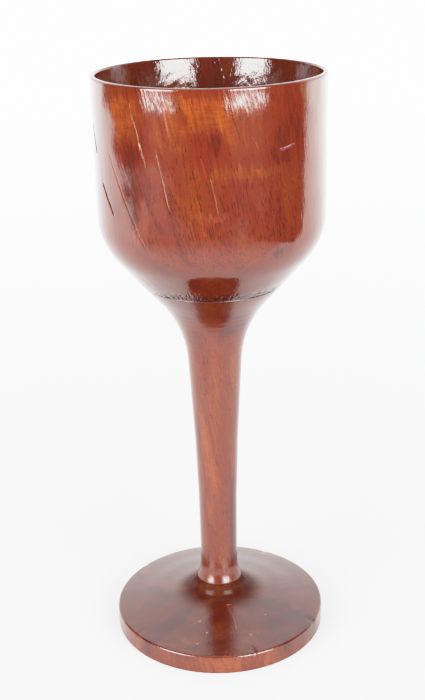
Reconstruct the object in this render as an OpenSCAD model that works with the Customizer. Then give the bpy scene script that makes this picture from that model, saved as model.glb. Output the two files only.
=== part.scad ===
// Turned wooden communion chalice: a bowl, a stem and a foot, glued together on round spigots.
// Millimetres, +Z up, origin on the floor at the centre of the foot.

/* [Overall] */
// Height from the floor to the top of the lip
total_h = 200; // [190:1:210]
// Faces around each turned piece
round_fn = 96; // [48:8:128]

/* [Bowl] */
// Radius at the top of the lip
rim_r = 37.7; // [37:0.1:38.5]
// Radius of the wall where it meets the shoulder
wall_r = 37.6; // [36.5:0.1:37.8]
// Rounding of the shoulder under the wall
shoulder_round = 23; // [18:1:25]
// Height of the corner that the shoulder rounds off
shoulder_z = 146.8; // [145:0.2:148]
// Thickness of the wall at the lip
lip_t = 1.6; // [1.5:0.1:2]
// Inside radius where the wall meets the sloping floor
cup_wall_r = 31; // [30:0.5:33]
// Height of that inside corner
cup_wall_z = 160; // [157:0.5:163]
// Radius of the flat part of the floor, before its rounding
cup_floor_r = 20; // [18:0.5:22]
// Height of the floor inside
cup_floor_z = 143; // [142.5:0.5:146]

/* [Stem] */
// Radius at the waist, the thinnest stretch
waist_r = 6.7; // [6.4:0.1:7]
// Height at which the upward taper would start from a straight waist
taper_z = 61.5; // [60:0.5:66]
// Radius of the corner that the neck rounds off
neck_r = 10.2; // [10:0.1:10.6]
// Height of that corner
neck_z = 115.4; // [114:0.1:116]
// Rounding of the neck under the bowl
neck_round = 36; // [32:1:40]
// Radius of the flare at the bottom of the stem
flare_r = 8.2; // [8:0.1:8.4]
// Angle of that flare, from vertical
flare_angle = 19; // [16:1:26]

/* [Foot] */
// Radius of the foot
foot_r = 37.8; // [37:0.1:38]
// Height of the upright edge
foot_edge_h = 6.9; // [6:0.1:7.5]
// Slope of the top of the foot, from level
foot_slope = 10; // [8:0.5:11]
// Radius of the boss that carries the stem, at its top
boss_r = 8.3; // [8.2:0.1:8.5]
// Radius at which the boss would meet the slope of the foot without its rounding
boss_base_r = 8.9; // [8.8:0.1:9.4]
// Inner radius of the flat ring that the foot stands on
rest_r = 32; // [28:0.5:34]
// Depth of the hollow inside that ring
hollow_h = 1.5; // [0.5:0.1:2]

/* [Glued joints] */
// Height of the joint between stem and bowl
bowl_joint_z = 131; // [130:0.5:132]
// Radius of the upper spigot
bowl_spigot_r = 7; // [6:0.5:8]
// Length of the upper spigot
bowl_spigot_h = 8; // [6:0.5:8.5]
// Height of the joint between foot and stem
foot_joint_z = 17; // [16.5:0.1:17.5]
// Radius of the lower spigot
foot_spigot_r = 4.5; // [4:0.1:5]
// Length of the lower spigot
foot_spigot_h = 11; // [9:0.5:12]
// Thickness of the glue around and beyond each spigot
glue_t = 0.15; // [0.1:0.05:0.2]

/* [Filled cracks] */
// Depth of each groove, square to the axis
crack_depth = 0.8; // [0.6:0.1:1]
// Width of the filler at the surface
crack_w = 0.4; // [0.3:0.05:0.6]

/* [Hidden] */

// Small roundings of the edges
lip_round = 0.7;
foot_top_round = 1;
foot_bottom_round = 0.6;
boss_round = 5;
flare_round = 12;
taper_round = 1020;
cup_floor_round = 12;
cup_wall_round = 16;

// Corners of the outline that the pieces share, from the floor up, each [radius, height, rounding]
boss_base_z = foot_edge_h + (foot_r - boss_base_r) * tan(foot_slope);
flare_z = foot_joint_z + (flare_r - waist_r) / tan(flare_angle);
foot_corners = [[foot_r, 0, foot_bottom_round], [foot_r, foot_edge_h, foot_top_round],
                [boss_base_r, boss_base_z, boss_round], [boss_r, foot_joint_z, 0]];
stem_corners = [[flare_r, foot_joint_z, 0], [waist_r, flare_z, flare_round],
                [waist_r, taper_z, taper_round], [neck_r, neck_z, neck_round]];
wall_corner = [wall_r, shoulder_z, shoulder_round];
joint_r = neck_r + (bowl_joint_z - neck_z) * (wall_r - neck_r) / (shoulder_z - neck_z);

// Crack fillers on the bowl: [azimuth of the middle, height of the middle, length, lean]
cracks = [["rim", -34, 183.5, 18, 16],
          ["long", -44, 164.5, 38, 27],
          ["short", -22.5, 172.5, 20, 12],
          ["front", 1.5, 168, 12, 11]];

// Points of an arc that rounds the corner b of the path a, b, c
function unit(v) = v / norm(v);
function rounded(a, b, c) =
    let (u = unit([a[0] - b[0], a[1] - b[1]]), v = unit([c[0] - b[0], c[1] - b[1]]),
         half = acos(u * v) / 2, mid = unit(u + v),
         centre = [b[0], b[1]] + mid * b[2] / sin(half),
         start = [b[0], b[1]] + u * b[2] / tan(half) - centre,
         turn = (180 - 2 * half) * sign(u[1] * v[0] - u[0] * v[1]),
         steps = max(3, ceil(abs(turn) / 4)))
    b[2] == 0 ? [[b[0], b[1]]] :
    [for (i = [0:steps])
        let (t = turn * i / steps)
        centre + [start[0] * cos(t) - start[1] * sin(t), start[0] * sin(t) + start[1] * cos(t)]];

// A closed outline with every corner rounded as its third number says
module outline(corners) {
    n = len(corners);
    polygon([for (i = [0:n - 1])
        each rounded(corners[(i + n - 1) % n], corners[i], corners[(i + 1) % n])]);
}

module turned() {
    rotate_extrude($fn = round_fn) children();
}

// The bowl's wood from the glued joint to the lip, with the space inside it
module bowl_outline() {
    top_r = rim_r - lip_t;
    outline([[0, bowl_joint_z, 0], [joint_r, bowl_joint_z, 0], wall_corner,
             [rim_r, total_h, lip_round], [top_r, total_h, lip_round],
             [cup_wall_r, cup_wall_z, cup_wall_round],
             [cup_floor_r, cup_floor_z, cup_floor_round], [0, cup_floor_z, 0]]);
}

// Half the section of a round spigot or of its hole, from height z for a length h, down if h < 0
module spigot_outline(r, z, h) {
    translate([0, min(z, z + h)]) square([r, abs(h)]);
}

// The skin of the bowl that the crack fillers sit in
module crack_skin() {
    difference() {
        bowl_outline();
        translate([-crack_depth, 0]) bowl_outline();
    }
}

// One filler: a leaning slab through the bowl's skin at the crack's place
module crack_filler(crack) {
    slab_depth = 20;
    color("tan") intersection() {
        turned() intersection() {
            crack_skin();
            translate([wall_r / 2, 0]) square([wall_r, total_h]);
        }
        rotate([0, 0, crack[1]])
            translate([0, -wall_r, crack[2]])
                rotate([0, -crack[4], 0])
                    cube([crack_w, slab_depth, crack[3]], center = true);
    }
}

module bowl() {
    color("sienna") difference() {
        turned() difference() {
            bowl_outline();
            spigot_outline(bowl_spigot_r + glue_t, bowl_joint_z, bowl_spigot_h + glue_t);
        }
        for (crack = cracks) crack_filler(crack);
    }
}

module stem() {
    color("chocolate") turned() {
        outline(concat([[0, foot_joint_z, 0]], stem_corners,
                       [[joint_r, bowl_joint_z, 0], [0, bowl_joint_z, 0]]));
        spigot_outline(bowl_spigot_r, bowl_joint_z, bowl_spigot_h);
        spigot_outline(foot_spigot_r, foot_joint_z, -foot_spigot_h);
    }
}

module foot() {
    color("brown") turned() difference() {
        outline(concat([[0, hollow_h, 0], [rest_r, 0, 0]], foot_corners, [[0, foot_joint_z, 0]]));
        spigot_outline(foot_spigot_r + glue_t, foot_joint_z, -foot_spigot_h - glue_t);
    }
}

// Hardened glue that fills the space between a spigot and its hole
module glue(r, z, h) {
    color("khaki") turned() difference() {
        spigot_outline(r + glue_t, z, h + sign(h) * glue_t);
        spigot_outline(r, z, h);
    }
}

module bowl_joint_glue() {
    glue(bowl_spigot_r, bowl_joint_z, bowl_spigot_h);
}

module foot_joint_glue() {
    glue(foot_spigot_r, foot_joint_z, -foot_spigot_h);
}

bowl();
stem();
foot();
bowl_joint_glue();
foot_joint_glue();
crack_filler(cracks[0]);  // crack_filler_rim
crack_filler(cracks[1]);  // crack_filler_long
crack_filler(cracks[2]);  // crack_filler_short
crack_filler(cracks[3]);  // crack_filler_front
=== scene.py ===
"""Turned wooden communion chalice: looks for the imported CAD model. Metres, +Z up, -Y is the front."""

import math

import bpy
import numpy as np
from mathutils import Matrix, Vector


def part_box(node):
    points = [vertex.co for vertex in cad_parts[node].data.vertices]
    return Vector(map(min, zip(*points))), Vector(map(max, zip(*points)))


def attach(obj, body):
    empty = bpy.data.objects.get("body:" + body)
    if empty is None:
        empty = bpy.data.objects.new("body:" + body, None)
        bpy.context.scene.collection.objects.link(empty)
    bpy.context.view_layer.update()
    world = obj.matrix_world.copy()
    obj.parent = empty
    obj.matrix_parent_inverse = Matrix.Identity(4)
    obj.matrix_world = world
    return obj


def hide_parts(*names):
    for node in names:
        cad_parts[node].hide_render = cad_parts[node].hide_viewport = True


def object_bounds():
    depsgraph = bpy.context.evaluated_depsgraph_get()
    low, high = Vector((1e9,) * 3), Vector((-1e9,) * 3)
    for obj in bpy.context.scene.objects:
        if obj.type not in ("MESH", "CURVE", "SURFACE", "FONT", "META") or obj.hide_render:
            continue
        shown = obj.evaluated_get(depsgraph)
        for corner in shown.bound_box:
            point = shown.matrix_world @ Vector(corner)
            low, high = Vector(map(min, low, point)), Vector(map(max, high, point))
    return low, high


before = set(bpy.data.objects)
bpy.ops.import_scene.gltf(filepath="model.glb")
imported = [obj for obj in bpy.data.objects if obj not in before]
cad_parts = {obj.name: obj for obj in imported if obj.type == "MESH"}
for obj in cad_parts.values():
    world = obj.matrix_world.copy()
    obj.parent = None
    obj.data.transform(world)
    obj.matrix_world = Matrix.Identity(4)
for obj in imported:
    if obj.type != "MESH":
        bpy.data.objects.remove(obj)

MM = 0.001
WANDER = 0.15 * MM  # how far a crack strays from its straight line
CAD_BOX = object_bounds()
JOINT_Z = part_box("bowl")[0].z
FOOT_JOINT_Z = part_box("foot")[1].z
HEIGHT = CAD_BOX[1].z
FOOT_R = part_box("foot")[1].x
RIM_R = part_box("bowl")[1].x


# ---------------------------------------------------------------- outlines from the CAD model

def cad_outline(node):
    """The (radius, height) outline of a turned CAD node, in order: the mesh edges on its seam."""
    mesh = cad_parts[node].data
    on_seam = {}
    for v in mesh.vertices:
        if abs(v.co.y) < 1e-7 and v.co.x > -1e-9:
            on_seam[v.index] = (round(v.co.x, 7), round(v.co.z, 7))
    links = {}
    for edge in mesh.edges:
        a, b = (on_seam.get(i) for i in edge.vertices)
        if a is not None and b is not None and a != b:
            links.setdefault(a, set()).add(b)
            links.setdefault(b, set()).add(a)
    ends = sorted(p for p in links if len(links[p]) == 1)
    chain, before = [ends[0]], None
    while True:
        ahead = [p for p in links[chain[-1]] if p != before]
        if not ahead:
            return np.array(chain)
        before = chain[-1]
        chain.append(ahead[0])


def smooth_path(points, spacing, corner_deg=15.0):
    """A smooth curve through the points, about spacing(point) apart, that keeps its sharp corners."""
    steps = np.diff(points, axis=0)
    lengths = np.linalg.norm(steps, axis=1)
    ways = steps / lengths[:, None]
    into, out = ways.copy(), ways.copy()  # tangents at the start and the end of each step
    for i in range(1, len(points) - 1):
        turn = math.degrees(math.acos(max(-1.0, min(1.0, float(ways[i - 1] @ ways[i])))))
        if turn > corner_deg:
            continue
        la, lb = lengths[i - 1], lengths[i]
        if la > 2.5 * lb:
            tangent = ways[i - 1]
        elif lb > 2.5 * la:
            tangent = ways[i]
        else:
            tangent = ways[i - 1] * lb + ways[i] * la
            tangent = tangent / np.linalg.norm(tangent)
        out[i - 1] = tangent
        into[i] = tangent
    path = [points[0]]
    for i, length in enumerate(lengths):
        a, b = points[i], points[i + 1]
        n = max(1, math.ceil(length / spacing((a + b) / 2)))
        for k in range(1, n + 1):
            t = k / n
            path.append((2 * t**3 - 3 * t**2 + 1) * a + (t**3 - 2 * t**2 + t) * length * into[i]
                        + (3 * t**2 - 2 * t**3) * b + (t**3 - t**2) * length * out[i])
    return np.array(path)


def outer_radius(node):
    """A function of height that gives the outside radius of a turned node."""
    line = cad_outline(node)
    order = np.argsort(line[:, 1], kind="stable")
    heights = np.unique(line[order, 1])
    radii = np.array([line[line[:, 1] == z, 0].max() for z in heights])
    keep = [i for i in range(len(heights)) if i in (0, len(heights) - 1)
            or radii[i] > 0.5 * (radii[i - 1] + radii[i + 1]) - 0.4 * MM]
    return lambda z: np.interp(z, heights[keep], radii[keep])


# ---------------------------------------------------------------- turned meshes

def soft_noise(az, z, seed, waves=7, around=5.0, along=60.0):
    """Smooth noise between about -1 and 1 over a turned surface, the same on each run."""
    rng = np.random.default_rng(seed)
    total = np.zeros(np.broadcast(az, z).shape)
    for _ in range(waves):
        k = rng.integers(1, int(around) + 1)
        f = rng.uniform(-along, along)
        total += np.sin(k * az + f * z + rng.uniform(0, 2 * math.pi))
    return total / math.sqrt(waves)


def grain_noise(rows, columns, seed, blur=1):
    """Noise between -1 and 1 on a grid, a little blurred, joined at its first and last column."""
    values = np.random.default_rng(seed).uniform(-1, 1, (rows, columns))
    for _ in range(blur):
        values = (values + np.roll(values, 1, 1) + np.roll(values, -1, 1)) / 3
        values = (values + np.roll(values, 1, 0) + np.roll(values, -1, 0)) / 3
    return values * (1 + 1.2 * blur)


def azimuths(fine_from, fine_to, fine_step, coarse_step):
    """Angles round the axis in radians, closer together over the stretch with fine detail."""
    fine = np.arange(fine_from, fine_to, fine_step)
    coarse = np.linspace(fine_to, fine_from + 360, math.ceil((360 - fine_to + fine_from) / coarse_step) + 1)
    return np.radians(np.concatenate([fine, coarse[:-1]]))


def turned_mesh(name, path, az, shift=None):
    """A closed lathe mesh of an outline. shift(az, r, z, nr, nz) says how far each point moves
    along its normal. No point goes past the CAD model's foot radius, floor or height."""
    tangent = np.gradient(path, axis=0)
    tangent /= np.linalg.norm(tangent, axis=1)[:, None] + 1e-12
    normal = np.stack([tangent[:, 1], -tangent[:, 0]], 1)
    area = 0.5 * np.sum(path[:, 0] * np.roll(path[:, 1], -1) - np.roll(path[:, 0], -1) * path[:, 1])
    if area < 0:
        normal = -normal
    grid_az, r = np.meshgrid(az, path[:, 0])
    _, z = np.meshgrid(az, path[:, 1])
    _, nr = np.meshgrid(az, normal[:, 0])
    _, nz = np.meshgrid(az, normal[:, 1])
    if shift is not None:
        move = shift(grid_az, r, z, nr, nz)
        r = np.clip(r + move * nr, 0, FOOT_R)
        z = np.clip(z + move * nz, 0, HEIGHT)
    rows, columns = r.shape
    points = np.stack([r * np.sin(grid_az), -r * np.cos(grid_az), z], 2).reshape(-1, 3)
    i, j = np.meshgrid(np.arange(rows - 1), np.arange(columns), indexing="ij")
    k = (j + 1) % columns
    quads = np.stack([i * columns + j, i * columns + k, (i + 1) * columns + k, (i + 1) * columns + j], 2)
    quads = quads.reshape(-1, 4)
    faces = [tuple(q) for q in (quads if area > 0 else quads[:, ::-1])]
    points = list(map(tuple, points))
    for row, flip in ((0, area > 0), (rows - 1, area < 0)):
        ring = [row * columns + c for c in range(columns)]
        centre = len(points)
        points.append((0.0, 0.0, float(path[row, 1])))
        for c in range(columns):
            a, b = ring[c], ring[(c + 1) % columns]
            faces.append((a, centre, b) if flip else (a, b, centre))
    mesh = bpy.data.meshes.new(name)
    mesh.from_pydata(points, [], faces)
    mesh.validate()
    mesh.update()
    piece = bpy.data.objects.new(name, mesh)
    bpy.context.scene.collection.objects.link(piece)
    mesh.shade_smooth()
    return piece


# ---------------------------------------------------------------- cracks in the bowl

def filler_line(node):
    """The azimuth of a filled crack as a function of height, and its lowest and highest point."""
    co = np.array([v.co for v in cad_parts[node].data.vertices])
    az = np.arctan2(co[:, 0], -co[:, 1])
    fit = np.polyfit(co[:, 2], az, 2)
    return lambda z: np.polyval(fit, z), co[:, 2].min(), co[:, 2].max()


def straight_line(az_top, z_top, az_low, z_low):
    """The same for an open check, from its ends: azimuths in degrees, heights in millimetres."""
    def line(z):
        return np.radians(np.interp(z / MM, [z_low, z_top], [az_low, az_top]))
    return line, z_low * MM, z_top * MM


def wander(z, seed, size):
    """A crack's sideways wander along its length, in metres."""
    rng = np.random.default_rng(seed)
    return size * sum(np.sin(z * f + rng.uniform(0, 6.28)) for f in (700, 1650, 3100)) / 3


def groove(az, r, z, crack, half_width, depth, bank, seed):
    """How far a crack lowers the surface at each point. It thins out to nothing at its ends."""
    line, low, high = crack
    middle = line(z)
    lean = np.arctan(np.abs(line(low) - line(high)) * r / (high - low))
    turn = (az - middle + math.pi) % (2 * math.pi) - math.pi
    off = np.abs((turn * r - wander(z, seed, WANDER)) * np.cos(lean))
    along = np.clip((z - low) / (high - low), 0, 1)
    taper = np.clip(np.sin(math.pi * along) * 3, 0, 1) ** 0.5 * ((z > low) & (z < high))
    wide = half_width * (0.6 + 0.4 * taper) * (1 + 0.35 * np.sin(z * 2300 + seed))
    return depth * taper * np.clip((wide + bank - off) / bank, 0, 1)


FILLED = {name: filler_line(name) for name in sorted(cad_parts) if name.startswith("crack_filler")}
OPEN_CHECKS = {  # a line, then its half width, depth and bank in millimetres
    "left_upper": (straight_line(-76, 186, -69.5, 177), 0.16, 0.35, 0.25),
    "left_lower": (straight_line(-64, 169, -53.5, 159.5), 0.12, 0.30, 0.22),
}


# ---------------------------------------------------------------- the wooden pieces

def torn_grain(az, z, seed):
    """How deep the tool tore the end grain, in a rough ring over the joint of the bowl and the stem."""
    ring = np.exp(-((z - JOINT_Z - 1.2 * MM) / (2.2 * MM)) ** 2)
    joint = np.exp(-((z - JOINT_Z) / (0.35 * MM)) ** 2)
    patchy = np.clip(0.55 + 0.6 * soft_noise(az, z, seed, around=9, along=500.0), 0, 1)
    return MM * (0.34 * ring * patchy * np.abs(grain_noise(*az.shape, seed)) + 0.018 * joint)


def bowl_shift(az, r, z, nr, nz):
    outside = nr > 0.05
    inside = nr < -0.05
    move = 0.05 * MM * soft_noise(az, z, 11, around=3, along=45.0)
    move += 0.03 * MM * np.sin(z / (2.3 * MM)) * outside
    for i, crack in enumerate(FILLED.values()):
        move -= outside * groove(az, r, z, crack, 0.05 * MM, 0.07 * MM, 0.16 * MM, i)
    for i, (crack, half, depth, bank) in enumerate(OPEN_CHECKS.values()):
        move -= outside * groove(az, r, z, crack, half * MM, depth * MM, bank * MM, 10 + i)
    notch = straight_line(176, 200.5, 170, 185)
    move -= (inside | (z > HEIGHT - 1.2 * MM)) * groove(az, r, z, notch, 0.15 * MM, 0.3 * MM, 0.4 * MM, 20)
    lumps = soft_noise(az, z, 14, waves=24, around=60, along=2200.0)
    move += 0.014 * MM * lumps * inside * np.clip((z - 0.165) / 0.01, 0, 1)
    move -= torn_grain(az, z, 31) * outside
    near_joint = r > 0.9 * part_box("stem")[1].x
    return move * (near_joint | (z > JOINT_Z + 2 * MM))


def stem_shift(az, r, z, nr, nz):
    visible = (nr > 0.3) & (z > FOOT_JOINT_Z) & (z < JOINT_Z)
    move = 0.05 * MM * soft_noise(az, z, 12, around=3, along=70.0)
    move -= torn_grain(az, z, 32)
    return move * visible


def foot_shift(az, r, z, nr, nz):
    top = (z > 0.3 * MM) & (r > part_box("stem")[1].x * 0.2)
    move = 0.04 * MM * (soft_noise(az, z, 13, around=4, along=200.0) - 1.5)
    move += 0.03 * MM * np.sin(r / (1.7 * MM)) * (nz > 0.5)
    for at_az, at_z, size, depth in ((18, 6.6, 0.9, 0.35), (-52, 6.7, 0.7, 0.25), (63, 6.4, 1.1, 0.3),
                                     (151, 6.5, 1.0, 0.35), (-130, 6.2, 0.8, 0.3), (33, 0.9, 0.8, 0.25)):
        turn = (az - math.radians(at_az) + math.pi) % (2 * math.pi) - math.pi
        far = np.hypot(turn * r, z - at_z * MM) / (size * MM)
        move -= depth * MM * np.exp(-far**2) * (r > 0.9 * FOOT_R)
    return move * top


def spacing_for(node, fine, coarse):
    """Close rings on what shows from outside, wider ones on hidden faces."""
    low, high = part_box(node)

    def spacing(point):
        r, z = point
        if node == "bowl":
            shown = z > JOINT_Z - 1e-6 and r > 0.99 * outside(z) or z > HEIGHT - MM
            return fine if shown else 0.7 * coarse if z > 0.16 else 2 * coarse
        if node == "stem":
            return fine if FOOT_JOINT_Z - 1e-6 < z < JOINT_Z + 1e-6 and r > 0.9 * outside_stem(z) else coarse
        return fine if z > 0.2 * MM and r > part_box("stem")[1].x * 0.25 else coarse

    return spacing


outside = outer_radius("bowl")
outside_stem = outer_radius("stem")

bowl = turned_mesh("bowl_wood", smooth_path(cad_outline("bowl"), spacing_for("bowl", 0.4 * MM, 1.0 * MM)),
                   azimuths(-80, 16, 0.36, 1.25), bowl_shift)
stem = turned_mesh("stem_wood", smooth_path(cad_outline("stem"), spacing_for("stem", 0.5 * MM, 2.0 * MM)),
                   azimuths(-60, 60, 1.5, 2.5), stem_shift)
foot = turned_mesh("foot_wood", smooth_path(cad_outline("foot"), spacing_for("foot", 0.4 * MM, 2.0 * MM)),
                   azimuths(-90, 90, 1.0, 1.5), foot_shift)


def filler_piece(name, crack, seed):
    """A strip of filler a little below the bowl's surface, with a rough top, closed underneath."""
    line, low, high = crack
    rows, columns = 160, 7
    sink, depth, half_width, end_gap = 0.03 * MM, 0.5 * MM, 0.15 * MM, 0.2 * MM
    z = np.linspace(low + end_gap, high - end_gap, rows)
    half = half_width * np.clip(np.sin(math.pi * (z - low) / (high - low)) * 3, 0.25, 1)
    lean = np.arctan(abs(line(low) - line(high)) * outside(z) / (high - low))
    rough = grain_noise(rows, columns, 50 + seed)
    across = np.linspace(-1, 1, columns)
    points = []
    for level in (0, 1):
        for i in range(rows):
            r = outside(z[i])
            for j in range(columns):
                aside = wander(z[i], seed, WANDER) + across[j] * half[i] / math.cos(lean[i])
                az = line(z[i]) + aside / r
                down = depth if level else sink + 0.02 * MM * rough[i, j]
                points.append(((r - down) * math.sin(az), -(r - down) * math.cos(az), z[i]))

    def top(i, j):
        return i * columns + j

    def under(i, j):
        return rows * columns + top(i, j)

    faces, last = [], columns - 1
    for i in range(rows - 1):
        for j in range(columns - 1):
            faces.append((top(i, j), top(i, j + 1), top(i + 1, j + 1), top(i + 1, j)))
            faces.append((under(i, j), under(i + 1, j), under(i + 1, j + 1), under(i, j + 1)))
        faces.append((top(i, 0), top(i + 1, 0), under(i + 1, 0), under(i, 0)))
        faces.append((top(i, last), under(i, last), under(i + 1, last), top(i + 1, last)))
    for j in range(columns - 1):
        faces.append((top(0, j), under(0, j), under(0, j + 1), top(0, j + 1)))
        faces.append((top(rows - 1, j), top(rows - 1, j + 1), under(rows - 1, j + 1), under(rows - 1, j)))
    mesh = bpy.data.meshes.new(name)
    mesh.from_pydata(points, [], faces)
    mesh.validate()
    mesh.update()
    mesh.shade_smooth()
    piece = bpy.data.objects.new(name, mesh)
    bpy.context.scene.collection.objects.link(piece)
    return piece


fillers = {name: filler_piece(name.replace("crack_filler", "filler_inlay"), crack, i)
           for i, (name, crack) in enumerate(FILLED.items())}


# ---------------------------------------------------------------- materials

class Shader:
    """A material's node tree, with short calls for the nodes used here."""

    def __init__(self, name):
        self.material = bpy.data.materials.new(name)
        self.material.use_nodes = True
        self.tree = self.material.node_tree
        self.tree.nodes.clear()
        self.output = self.tree.nodes.new("ShaderNodeOutputMaterial")
        self.bsdf = self.tree.nodes.new("ShaderNodeBsdfPrincipled")
        self.tree.links.new(self.bsdf.outputs[0], self.output.inputs[0])

    def put(self, socket, value):
        if isinstance(value, bpy.types.NodeSocket):
            self.tree.links.new(value, socket)
        else:
            socket.default_value = value

    def math(self, operation, *values, clamp=False):
        node = self.tree.nodes.new("ShaderNodeMath")
        node.operation = operation
        node.use_clamp = clamp
        for socket, value in zip(node.inputs, values):
            self.put(socket, value)
        return node.outputs[0]

    def ramp(self, value, low, high, to_low=0.0, to_high=1.0):
        """value from low..high to to_low..to_high, eased and held outside."""
        node = self.tree.nodes.new("ShaderNodeMapRange")
        node.interpolation_type = "SMOOTHSTEP"
        for socket, given in zip(node.inputs, (value, low, high, to_low, to_high)):
            self.put(socket, given)
        return node.outputs[0]

    def millimetres(self):
        """The piece's own coordinates in millimetres, as three values."""
        place = self.tree.nodes.new("ShaderNodeTexCoord")
        parts = self.tree.nodes.new("ShaderNodeSeparateXYZ")
        self.tree.links.new(place.outputs["Object"], parts.inputs[0])
        return [self.math("MULTIPLY", parts.outputs[i], 1000.0) for i in range(3)]

    def vector(self, x, y, z):
        node = self.tree.nodes.new("ShaderNodeCombineXYZ")
        for socket, value in zip(node.inputs, (x, y, z)):
            self.put(socket, value)
        return node.outputs[0]

    def scaled(self, x, y, z, sx, sy, sz, shift=0.0):
        return self.vector(self.math("MULTIPLY_ADD", x, sx, shift), self.math("MULTIPLY_ADD", y, sy, shift),
                           self.math("MULTIPLY_ADD", z, sz, shift))

    def noise(self, vector, detail=2.0, roughness=0.5, distortion=0.0):
        node = self.tree.nodes.new("ShaderNodeTexNoise")
        self.put(node.inputs["Vector"], vector)
        self.put(node.inputs["Scale"], 1.0)
        self.put(node.inputs["Detail"], detail)
        self.put(node.inputs["Roughness"], roughness)
        self.put(node.inputs["Distortion"], distortion)
        return node.outputs["Fac"]

    def blend(self, share, a, b, mode="MIX"):
        node = self.tree.nodes.new("ShaderNodeMix")
        node.data_type = "RGBA"
        node.blend_type = mode
        self.put(node.inputs[0], share)
        for socket, value in ((node.inputs[6], a), (node.inputs[7], b)):
            self.put(socket, (*value, 1.0) if isinstance(value, tuple) and len(value) == 3 else value)
        return node.outputs[2]

    def colours(self, value, stops):
        """A colour ramp: stops are (place, colour)."""
        node = self.tree.nodes.new("ShaderNodeValToRGB")
        self.put(node.inputs[0], value)
        points = node.color_ramp.elements
        while len(points) < len(stops):
            points.new(0.5)
        for point, (place, colour) in zip(points, stops):
            point.position = place
            point.color = (*colour, 1.0)
        return node.outputs[0]

    def bump(self, height, distance, strength=1.0, under=None):
        node = self.tree.nodes.new("ShaderNodeBump")
        self.put(node.inputs["Strength"], strength)
        self.put(node.inputs["Distance"], distance)
        self.put(node.inputs["Height"], height)
        if under is not None:
            self.tree.links.new(under, node.inputs["Normal"])
        return node.outputs[0]

    def patch(self, u, v, at_u, at_v, wide, tall, edge=0.3):
        """1 inside a soft-edged block with its middle at (at_u, at_v), 0 outside. Half sizes."""
        a = self.math("ABSOLUTE", self.math("MULTIPLY_ADD", u, 1.0 / wide, -at_u / wide))
        b = self.math("ABSOLUTE", self.math("MULTIPLY_ADD", v, 1.0 / tall, -at_v / tall))
        return self.ramp(self.math("SMOOTH_MAX", a, b, 0.3), 1.0 - edge, 1.0 + edge, 1.0, 0.0)

    def stroke(self, u, v, start, end, half_width):
        """1 on a straight stroke from start to end in the plane of u and v (mm), 0 away from it."""
        du, dv = end[0] - start[0], end[1] - start[1]
        length = math.hypot(du, dv)
        pu, pv = self.math("ADD", u, -start[0]), self.math("ADD", v, -start[1])
        cos, sin = du / length, dv / length
        along = self.math("ADD", self.math("MULTIPLY", pu, cos), self.math("MULTIPLY", pv, sin))
        side = self.math("ADD", self.math("MULTIPLY", pu, -sin), self.math("MULTIPLY", pv, cos))
        past = self.math("MAXIMUM", self.math("ABSOLUTE", self.math("ADD", along, -length / 2)), length / 2)
        past = self.math("ADD", past, -length / 2)
        far = self.math("ADD", self.math("ABSOLUTE", side), past)
        return self.ramp(far, half_width * 0.4, half_width * 1.3, 1.0, 0.0)


GRAIN_LEAN = 0.2  # sideways run of the fibres for each unit of height
BOWL_PITH = (-18.0, 150.0)  # the tree's centre line at floor height for the bowl and stem, in millimetres
FOOT_PITH = (6.0, 118.0)
DARK = (0.0130, 0.0032, 0.0020)
RED = (0.0500, 0.0062, 0.0026)
BROWN = (0.0540, 0.0096, 0.0028)
ORANGE = (0.1080, 0.0225, 0.0040)
END_GRAIN = (0.60, 0.44, 0.34)  # how much darker the wood is where its fibres end
PORE = (0.0060, 0.0022, 0.0018)


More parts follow.
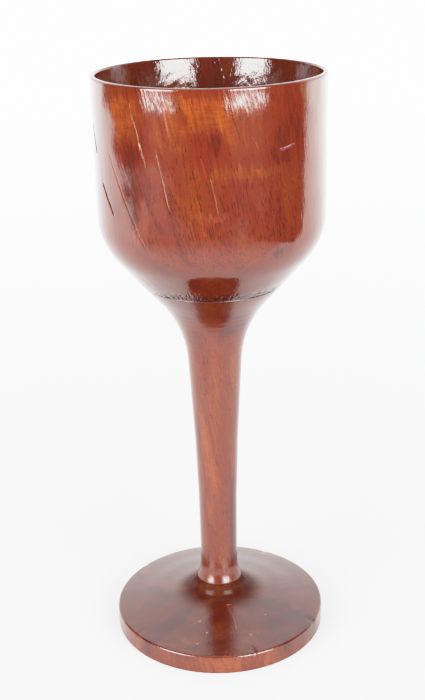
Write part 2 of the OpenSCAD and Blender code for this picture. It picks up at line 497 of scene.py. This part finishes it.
def wood(name, pith=BOWL_PITH, ring_pitch=0.32, ring_contrast=1.0, patches=(), stains=(), strokes=(),
         lumpy=0.3, inside=False, end_grain=False, tone=0.5, coat_roughness=0.1, worn_and_shaded_to=None):
    """Reddish-brown wood under varnish.

    pith is the tree's centre, ring_pitch how close its growth rings are and ring_contrast how strong.
    patches move the figure: (azimuth, height, half width, half height, weight), degrees and mm.
    stains and strokes lay a colour over it; strokes are lines on the bowl's wall or on the foot's top.
    inside says that the piece has a hollow side, darkened by painted shade, with runs in its varnish.
    worn_and_shaded_to is the radius in mm out to which the varnish is worn thin; closer in, the wood is also
    darkened by painted shade, the dark reflection of the stem.
    """
    s = Shader(name)
    x, y, z = s.millimetres()
    lean_x = s.math("MULTIPLY_ADD", z, GRAIN_LEAN, x)
    az = s.math("MULTIPLY", s.math("ARCTAN2", x, s.math("MULTIPLY", y, -1.0)), 180 / math.pi)

    # growth rings about the pith, bent by slow noise
    slow = s.noise(s.scaled(lean_x, y, z, 0.045, 0.045, 0.012), 2.0)
    dx = s.math("ADD", lean_x, -pith[0])
    dy = s.math("ADD", y, -pith[1])
    far = s.math("SQRT", s.math("ADD", s.math("MULTIPLY", dx, dx), s.math("MULTIPLY", dy, dy)))
    far = s.math("MULTIPLY_ADD", slow, 26.0, far)
    rings = s.vector(s.math("MULTIPLY", far, ring_pitch), 0.0, s.math("MULTIPLY", z, 0.004))
    rings = s.noise(rings, 3.0, 0.6)
    rings = s.math("MULTIPLY_ADD", s.math("ADD", rings, -0.5), ring_contrast, 0.5)

    # mottled figure: blocks that run up the grain, fibres, and fine ripples across them
    blocks = s.noise(s.scaled(lean_x, y, z, 0.16, 0.16, 0.045, 7.0), 3.0, 0.55, 0.4)
    ripples = s.noise(s.scaled(lean_x, y, z, 0.30, 0.30, 1.9, 3.0), 2.0, 0.6, 0.5)
    fibres = s.noise(s.scaled(lean_x, y, z, 1.5, 1.5, 0.07), 3.0, 0.65)
    strands = s.noise(s.scaled(lean_x, y, z, 1.1, 1.1, 0.03, 8.0), 3.0, 0.7)

    figure = s.math("ADD", s.math("MULTIPLY", rings, 0.5), s.math("MULTIPLY", blocks, 0.5))
    figure = s.math("ADD", figure, s.math("MULTIPLY_ADD", fibres, 0.40, -0.20))
    figure = s.math("ADD", figure, tone - 0.5)
    ragged_z = s.math("MULTIPLY_ADD", s.math("ADD", strands, -0.5), 12.0, z)
    ragged_az = s.math("MULTIPLY_ADD", s.math("ADD", blocks, -0.5), 22.0, az)
    for at_az, at_z, wide, tall, weight in patches:
        block = s.patch(ragged_az, ragged_z, at_az, at_z, wide, tall)
        figure = s.math("MULTIPLY_ADD", block, weight, figure)
    cross = s.math("MULTIPLY", s.math("ADD", ripples, -0.5), s.ramp(figure, 0.5, 0.75, 0.04, 0.40))
    figure = s.math("ADD", figure, cross)
    figure = s.math("SMOOTH_MAX", figure, 0.34, 0.08)
    colour = s.colours(figure, [(0.25, DARK), (0.42, RED), (0.58, BROWN), (0.86, ORANGE)])

    # pores: short dark dashes along the grain, dots where the grain ends
    along = 2.6 if end_grain else 0.36
    pores = s.noise(s.scaled(lean_x, y, z, 3.4, 3.4, along, 11.0), 1.0, 0.5)
    crowd = s.noise(s.scaled(lean_x, y, z, 0.12, 0.12, 0.03, 5.0), 1.0)
    pores = s.math("MULTIPLY_ADD", crowd, 0.16, pores)
    if inside:
        pores = s.math("ADD", pores, s.ramp(z, 155.0, 190.0, 0.03, -0.04))
    pores = s.ramp(pores, 0.68, 0.80)
    colour = s.blend(s.math("MULTIPLY", pores, 0.55), colour, PORE)
    # torn end grain over the joint of the bowl and the stem
    ring = s.ramp(s.math("ABSOLUTE", s.math("ADD", z, -JOINT_Z / MM - 1.0)), 0.4, 3.0, 1.0, 0.0)
    torn = s.ramp(s.noise(s.scaled(x, y, z, 0.9, 0.9, 1.6, 13.0), 3.0, 0.7), 0.38, 0.62, 0.15, 0.85)
    colour = s.blend(s.math("MULTIPLY", ring, torn), colour, PORE)
    shape = s.tree.nodes.new("ShaderNodeNewGeometry")
    facing = s.tree.nodes.new("ShaderNodeSeparateXYZ")
    s.tree.links.new(shape.outputs["Normal"], facing.inputs[0])
    ends = s.ramp(s.math("ABSOLUTE", facing.outputs[2]), 0.25, 0.95)
    colour = s.blend(ends, colour, s.blend(1.0, colour, END_GRAIN, "MULTIPLY"))
    outward_x = s.math("MULTIPLY", facing.outputs[0], x)
    outward_y = s.math("MULTIPLY", facing.outputs[1], y)
    outward = s.math("ADD", outward_x, outward_y)
    # painted shade: faces of the hollow that turn towards the axis are blended part way to DARK
    if inside:
        colour = s.blend(s.ramp(outward, -4.0, 0.0, 0.28, 0.0), colour, DARK)
    # painted shade: near the stem the colour is blended towards DARK, standing in for the dark stem and bowl
    # that the foot reflects
    if worn_and_shaded_to is not None:
        radius = s.math("SQRT", s.math("ADD", s.math("MULTIPLY", x, x), s.math("MULTIPLY", y, y)))
        colour = s.blend(s.ramp(radius, worn_and_shaded_to - 6.0, worn_and_shaded_to - 1.0, 0.6, 0.0), colour, DARK)
    for at_az, at_z, wide, tall, share, tint in stains:
        spot = s.math("MULTIPLY", s.patch(ragged_az, ragged_z, at_az, at_z, wide, tall, 0.5), share)
        colour = s.blend(s.math("MULTIPLY", spot, s.ramp(outward, 0.0, 1.0)), colour, tint)
    wall = s.math("MULTIPLY", az, math.radians(1) * RIM_R / MM)
    u, v = (x, y) if end_grain else (wall, z)
    uneven = s.ramp(s.noise(s.scaled(x, y, z, 1.3, 1.3, 1.3, 6.0), 2.0), 0.35, 0.6, 0.15, 1.0)
    for start, end, half_width, share, tint in strokes:
        line = s.math("MULTIPLY", s.stroke(u, v, start, end, half_width), s.math("MULTIPLY", uneven, share))
        colour = s.blend(s.math("MULTIPLY", line, s.ramp(outward, 0.0, 1.0)), colour, tint)
    s.put(s.bsdf.inputs["Base Color"], colour)

    # varnish: a glossy coat that fills the pores, with slow lumps where it ran
    rough = s.noise(s.scaled(x, y, z, 0.3, 0.3, 0.3, 2.0), 2.0)
    s.put(s.bsdf.inputs["Roughness"], s.ramp(rough, 0.3, 0.7, 0.34, 0.52))
    s.bsdf.inputs["Specular IOR Level"].default_value = 0.0
    if worn_and_shaded_to is None:
        s.bsdf.inputs["Coat Weight"].default_value = 1.0
    else:
        s.put(s.bsdf.inputs["Coat Weight"], s.ramp(radius, worn_and_shaded_to - 5.0, worn_and_shaded_to + 3.0, 0.12, 1.0))
    s.bsdf.inputs["Coat Roughness"].default_value = coat_roughness
    s.bsdf.inputs["Coat IOR"].default_value = 1.5
    lumps = s.noise(s.scaled(x, y, z, 0.30, 0.30, 0.10, 9.0), 2.0, 0.45)
    brushed = s.noise(s.scaled(lean_x, y, z, 1.5, 1.5, 0.16, 4.0), 2.0, 0.6)
    height = s.math("ADD", s.math("MULTIPLY", lumps, lumpy), s.math("MULTIPLY", brushed, 0.10))
    if inside:
        runs = s.noise(s.scaled(x, y, z, 0.85, 0.85, 0.55, 9.0), 3.0, 0.6, 0.5)
        height = s.math("ADD", height, s.math("MULTIPLY", runs, s.ramp(outward, -4.0, 0.0, 0.16, 0.0)))
    skin = s.bump(height, 0.35 * MM)
    s.put(s.bsdf.inputs["Coat Normal"], skin)
    s.put(s.bsdf.inputs["Normal"], s.bump(pores, -0.06 * MM, 1.0, skin))
    return s.material


def filler_material():
    """Hardened brown paste with grit in it."""
    s = Shader("crack_filler_paste")
    x, y, z = s.millimetres()
    mix = s.noise(s.scaled(x, y, z, 0.9, 0.9, 0.35), 3.0, 0.6)
    grit = s.noise(s.scaled(x, y, z, 5.0, 5.0, 5.0), 2.0)
    colour = s.colours(mix, [(0.30, (0.030, 0.009, 0.004)), (0.5, (0.065, 0.025, 0.009)),
                             (0.72, (0.105, 0.050, 0.020))])
    colour = s.blend(s.ramp(grit, 0.55, 0.7, 0.0, 0.5), colour, (0.05, 0.015, 0.006))
    s.put(s.bsdf.inputs["Base Color"], colour)
    s.put(s.bsdf.inputs["Roughness"], s.ramp(grit, 0.3, 0.7, 0.4, 0.6))
    s.bsdf.inputs["Specular IOR Level"].default_value = 0.1
    s.bsdf.inputs["Coat Weight"].default_value = 0.5
    s.bsdf.inputs["Coat Roughness"].default_value = 0.2
    s.put(s.bsdf.inputs["Normal"], s.bump(grit, 0.04 * MM))
    return s.material


def glue_material():
    s = Shader("hardened_glue")
    x, y, z = s.millimetres()
    mix = s.noise(s.scaled(x, y, z, 0.7, 0.7, 0.7), 3.0)
    colour = s.colours(mix, [(0.3, (0.25, 0.15, 0.06)), (0.7, (0.42, 0.30, 0.14))])
    s.put(s.bsdf.inputs["Base Color"], colour)
    s.put(s.bsdf.inputs["Roughness"], s.ramp(mix, 0.3, 0.7, 0.25, 0.45))
    s.put(s.bsdf.inputs["Normal"], s.bump(mix, 0.05 * MM))
    return s.material


BOWL_PATCHES = (
    (-42, 190, 8, 6.5, 0.20), (-17, 189, 8, 8, 0.12), (-2, 192.5, 11, 5, 0.20), (-5, 184, 7, 6, -0.04),
    (21, 175, 18, 1.5, 0.14), (-44, 172, 11, 16, -0.07), (33, 172, 7, 18, -0.05), (41, 164, 5, 10, 0.08),
    (40, 187, 13, 14, -0.05), (0, 160, 25, 8, 0.03), (-66, 170, 8, 22, -0.08), (8, 184, 6, 9, 0.05),
    (20, 190, 9, 8, 0.06), (-28, 176, 7, 10, -0.03), (0, 172, 30, 5, 0.03), (30, 193, 6, 6, 0.05),
    (110, 180, 22, 10, 0.16), (165, 168, 16, 14, -0.10), (-120, 176, 18, 12, 0.15), (-160, 188, 12, 7, 0.18),
)
BOWL_STAINS = (  # azimuth, height, half width, half height, share, colour
    (53, 196, 4.5, 3.5, 0.45, (0.085, 0.050, 0.022)),
    (2.5, 162.2, 4, 0.8, 0.22, (0.11, 0.036, 0.020)),
    (35, 148.7, 3, 1.1, 0.75, (0.012, 0.001, 0.001)),
    (-36, 160, 3, 6, 0.15, (0.16, 0.06, 0.04)),
)
BOWL_STROKES = (  # on the wall: distance round it from the front and height, in millimetres
    ((22.0, 181.0), (27.4, 181.9), 0.20, 0.5, (0.15, 0.10, 0.13)),
    ((22.6, 180.5), (26.2, 181.5), 0.25, 0.35, (0.12, 0.06, 0.09)),
    ((-13.7, 194), (-12.4, 186), 0.30, 0.30, (0.22, 0.08, 0.04)),
    ((-36.2, 191), (-36.2, 181), 0.22, 0.8, (0.01, 0.006, 0.005)),
    ((4.4, 198), (8.6, 186), 0.20, 0.75, (0.008, 0.005, 0.005)),
    ((4.7, 196), (5.2, 194.5), 0.10, 0.4, (0.3, 0.2, 0.18)),
    ((-3.0, 180), (-1.4, 174), 0.15, 0.35, (0.10, 0.04, 0.015)),
    ((-25.5, 195), (-24.6, 189), 0.2, 0.5, (0.2, 0.08, 0.03)),
    ((-5.5, 176), (-3.0, 164), 0.2, 0.7, (0.008, 0.003, 0.002)),
    ((-8.6, 184), (-7.0, 172), 0.2, 0.6, (0.008, 0.003, 0.002)),
    ((12.5, 185.5), (15.0, 181), 0.16, 0.3, (0.14, 0.06, 0.03)),
    ((-1.0, 182), (1.0, 174), 0.18, 0.6, (0.008, 0.003, 0.002)),
    ((29.6, 135), (28.3, 130.8), 0.3, 0.8, PORE),
    ((28.3, 130.8), (27.3, 127.2), 0.3, 0.8, PORE),
)
CONE_STROKES = (  # the crack across the cone, below the joint, as on the wall
    ((28.3, 131), (27.3, 127.2), 0.3, 0.8, PORE),
    ((27.3, 127.2), (26.1, 119.4), 0.25, 0.7, PORE),
    ((26.1, 119.4), (17.6, 116), 0.25, 0.6, PORE),
)
STEM_PATCHES = (
    (-20, 70, 30, 30, 0.10), (55, 40, 18, 20, -0.2), (30, 120, 25, 5, -0.15), (-30, 112, 14, 6, -0.1),
)
FOOT_PATCHES = (
    (45, 7, 14, 5, -0.15), (62, 7, 6, 5, -0.2), (-42, 7, 6, 5, -0.2), (0, 3, 30, 3, 0.12),
)
FOOT_STROKES = (  # on the top of the foot, from above, in millimetres
    ((3.0, -13.8), (4.8, -18.5), 0.24, 0.4, (0.13, 0.035, 0.015)),
    ((4.8, -18.5), (5.6, -24.2), 0.24, 0.55, (0.15, 0.045, 0.02)),
    ((-5.0, -25.9), (-4.8, -25.9), 0.35, 0.45, (0.30, 0.22, 0.22)),
    ((-9.3, -21.1), (-9.1, -21.1), 0.4, 0.25, (0.2, 0.12, 0.12)),
    ((15.9, -16.4), (16.4, -16.4), 0.4, 0.25, (0.25, 0.16, 0.16)),
    ((18.9, -21.8), (19.4, -25.3), 0.3, 0.7, (0.03, 0.006, 0.004)),
    ((-7.4, -20), (-7.1, -20), 0.35, 0.4, (0.3, 0.2, 0.2)),
    ((10.5, -26.5), (10.8, -27.5), 0.5, 0.4, (0.18, 0.06, 0.02)),
    ((-8.5, -30.9), (-8.2, -30.9), 0.4, 0.3, (0.3, 0.2, 0.2)),
    ((2.4, -12.5), (4.2, -12.0), 0.3, 0.4, (0.2, 0.1, 0.09)),
    ((16.5, -10.5), (17.6, -14.5), 0.3, 0.7, (0.012, 0.004, 0.003)),
    ((13, -6), (16, -7.5), 0.3, 0.25, (0.10, 0.03, 0.015)),
)

wood_bowl = wood("varnished_wood_bowl", patches=BOWL_PATCHES, stains=BOWL_STAINS, strokes=BOWL_STROKES,
                 lumpy=0.20, inside=True, tone=0.46, coat_roughness=0.09)
wood_stem = wood("varnished_wood_stem", patches=STEM_PATCHES, strokes=CONE_STROKES, lumpy=0.10, tone=0.51,
                 coat_roughness=0.2)
wood_foot = wood("varnished_wood_foot", pith=FOOT_PITH, ring_pitch=0.22, ring_contrast=2.2,
                 patches=FOOT_PATCHES, strokes=FOOT_STROKES, lumpy=0.10, end_grain=True, tone=0.56,
                 coat_roughness=0.2, worn_and_shaded_to=15.0)
paste = filler_material()
glue = glue_material()

for piece, material, node, slot in ((bowl, wood_bowl, "bowl", "varnished_wood_bowl"),
                                    (stem, wood_stem, "stem", "varnished_wood_stem"),
                                    (foot, wood_foot, "foot", "varnished_wood_foot")):
    piece.data.materials.append(material)
    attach(piece, "root")
    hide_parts(node)
for node, piece in fillers.items():
    piece.data.materials.append(paste)
    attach(piece, "root")
    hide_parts(node)
for node in ("bowl_joint_glue", "foot_joint_glue"):
    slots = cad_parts[node].data.materials
    slots.clear()
    slots.append(glue)


# ---------------------------------------------------------------- studio

DIM_RANGE = (150.0, 430.0)  # distances from the axis, in mm, over which a sheet dims
GLOW_RANGE = (-100.0, 1300.0)  # and over which the floor's glow grows


def stage_mesh(name, points, faces, colour, roughness, far_glow=0.0, dim_to=None):
    """A mesh of the studio. far_glow is the light it gives off far away, dim_to its colour there, a painted
    shade.
    """
    mesh = bpy.data.meshes.new(name)
    mesh.from_pydata(points, [], faces)
    piece = bpy.data.objects.new(name, mesh)
    bpy.context.scene.collection.objects.link(piece)
    s = Shader(name)
    x, y, z = s.millimetres()
    speck = s.noise(s.scaled(x, y, z, 0.05, 0.05, 0.05), 3.0)
    away = s.math("SQRT", s.math("ADD", s.math("MULTIPLY", x, x), s.math("MULTIPLY", y, y)))
    tint = s.blend(speck, colour, tuple(c * 0.98 for c in colour))
    # painted shade: the sheet darkens away from the axis, standing in for light falling off
    if dim_to is not None:
        tint = s.blend(s.ramp(away, *DIM_RANGE), tint, (dim_to, dim_to, dim_to))
    s.put(s.bsdf.inputs["Base Color"], tint)
    s.bsdf.inputs["Roughness"].default_value = roughness
    s.bsdf.inputs["Specular IOR Level"].default_value = 0.1
    if far_glow:
        s.bsdf.inputs["Emission Color"].default_value = (1, 1, 1, 1)
        s.put(s.bsdf.inputs["Emission Strength"], s.ramp(away, *GLOW_RANGE, 0.0, far_glow))
    mesh.materials.append(s.material)
    return piece


def softbox(name, azimuth, distance, low, high, wide, radiance):
    """An upright rectangular light that faces the axis. Heights and sizes in metres."""
    data = bpy.data.lights.new(name, "AREA")
    data.shape = "RECTANGLE"
    data.size, data.size_y = wide, high - low
    data.energy = radiance * math.pi * wide * (high - low)
    light = bpy.data.objects.new(name, data)
    a = math.radians(azimuth)
    light.location = (distance * math.sin(a), -distance * math.cos(a), (low + high) / 2)
    light.rotation_euler = Vector((math.sin(a), -math.cos(a), 0)).to_track_quat("Z", "Y").to_euler()
    light.visible_camera = False
    bpy.context.scene.collection.objects.link(light)


FLOOR = 4.0
PALE = (0.50, 0.50, 0.50)
stage_mesh("floor", [(-FLOOR, -FLOOR, 0), (FLOOR, -FLOOR, 0), (FLOOR, FLOOR, 0), (-FLOOR, FLOOR, 0)],
           [(0, 1, 2, 3)], PALE, 0.9, far_glow=3.0)

# painted shade, seen only in reflections: a near-black sheet for the unlit studio beyond the table, and the
# table's front half darkened away from the axis
TABLE_LEFT, TABLE_RIGHT, TABLE_FRONT = -0.75, 0.30, -0.53
DARK_LEFT_AZ, DARK_RIGHT_AZ, DARK_R, DARK_TOP = -120, 104, 1.3, 2.6
DARK_Z, DIM_Z, DIM_BACK = 0.001, 0.0005, -0.10
ARC_POINTS = 40
arc = [math.radians(a) for a in np.linspace(DARK_LEFT_AZ, DARK_RIGHT_AZ, ARC_POINTS)]
dark_points = [(DARK_R * math.sin(a), -DARK_R * math.cos(a), h) for h in (DARK_Z, DARK_TOP) for a in arc]
left_end, right_end = -DARK_R * math.cos(arc[0]), -DARK_R * math.cos(arc[-1])
dark_points += [(x, y, DARK_Z) for x, y in (
    (-DARK_R, TABLE_FRONT), (-DARK_R, -DARK_R), (DARK_R, -DARK_R), (DARK_R, TABLE_FRONT),
    (DARK_R, right_end), (TABLE_RIGHT, 0.0), (TABLE_RIGHT, TABLE_FRONT),
    (TABLE_LEFT, TABLE_FRONT), (TABLE_LEFT, 0.0), (-DARK_R, left_end))]
dark_faces = [(i, i + 1, ARC_POINTS + i + 1, ARC_POINTS + i) for i in range(ARC_POINTS - 1)]
dark_faces += [tuple(2 * ARC_POINTS + k for k in quad)
               for quad in ((0, 1, 2, 3), (3, 4, 5, 6), (0, 7, 8, 9))]
dark_room = stage_mesh("dark_room", dark_points, dark_faces, (0.02, 0.018, 0.018), 1.0)
dim_points = [(TABLE_LEFT, TABLE_FRONT, DIM_Z), (TABLE_RIGHT, TABLE_FRONT, DIM_Z),
              (TABLE_RIGHT, DIM_BACK, DIM_Z), (TABLE_LEFT, DIM_BACK, DIM_Z)]
dim_table = stage_mesh("dim_table", dim_points, [(0, 1, 2, 3)], PALE, 0.9, dim_to=0.14)
for sheet in (dark_room, dim_table):
    sheet.visible_camera = False
    sheet.visible_diffuse = False
    sheet.visible_shadow = False
    sheet.visible_transmission = False

for name, azimuth, wide in (("softbox_left", -48, 0.56), ("softbox_right", 36, 0.62)):
    softbox(name, azimuth, distance=1.0, low=0.066, high=0.62, wide=wide, radiance=32.0)

world = bpy.data.worlds.new("studio")
bpy.context.scene.world = world
world.use_nodes = True
world.node_tree.nodes["Background"].inputs[0].default_value = (1, 1, 1, 1)
world.node_tree.nodes["Background"].inputs[1].default_value = 3.0


def camera_response(view, knee=0.45, steepness=3, white=6.0, points=24):
    """Straight up to the knee and eased off above it, as a camera renders bright light."""
    view.view_transform = "Standard"
    view.use_curve_mapping = True
    mapping = view.curve_mapping
    mapping.white_level = (white, white, white)
    curve = mapping.curves[3]
    while len(curve.points) < points:
        curve.points.new(0.5, 0.5)
    bright = [0.0] + list(np.geomspace(knee, white, points - 1))
    for point, light in zip(curve.points, bright):
        over = max(0.0, (light - knee) / (1 - knee))
        shown = light if light <= knee else knee + (1 - knee) * (1 - (1 + over / steepness) ** -steepness)
        point.location = (light / white, shown)
        point.handle_type = "VECTOR"
    mapping.update()


camera_response(bpy.context.scene.view_settings)


# ---------------------------------------------------------------- camera

def photo_camera():
    """The view from a little above, found from the ellipses of the lip and the foot."""
    data = bpy.data.cameras.new("camera")
    data.sensor_width = 36.0
    data.lens = 60.47
    camera = bpy.data.objects.new("camera", data)
    yaw, pitch, roll = (math.radians(a) for a in (-0.116, 20.877, -1.25))
    ahead = Vector((math.sin(yaw) * math.cos(pitch), math.cos(yaw) * math.cos(pitch), -math.sin(pitch)))
    right = Vector((math.cos(yaw), -math.sin(yaw), 0))
    up = right.cross(ahead)
    level = Matrix((right, up, -ahead)).transposed()
    turned = (level @ Matrix.Rotation(roll, 3, "Z")).to_4x4()
    camera.matrix_world = Matrix.Translation((0, -0.3781, 0.2499)) @ turned
    bpy.context.scene.collection.objects.link(camera)
    bpy.context.scene.camera = camera


photo_camera()
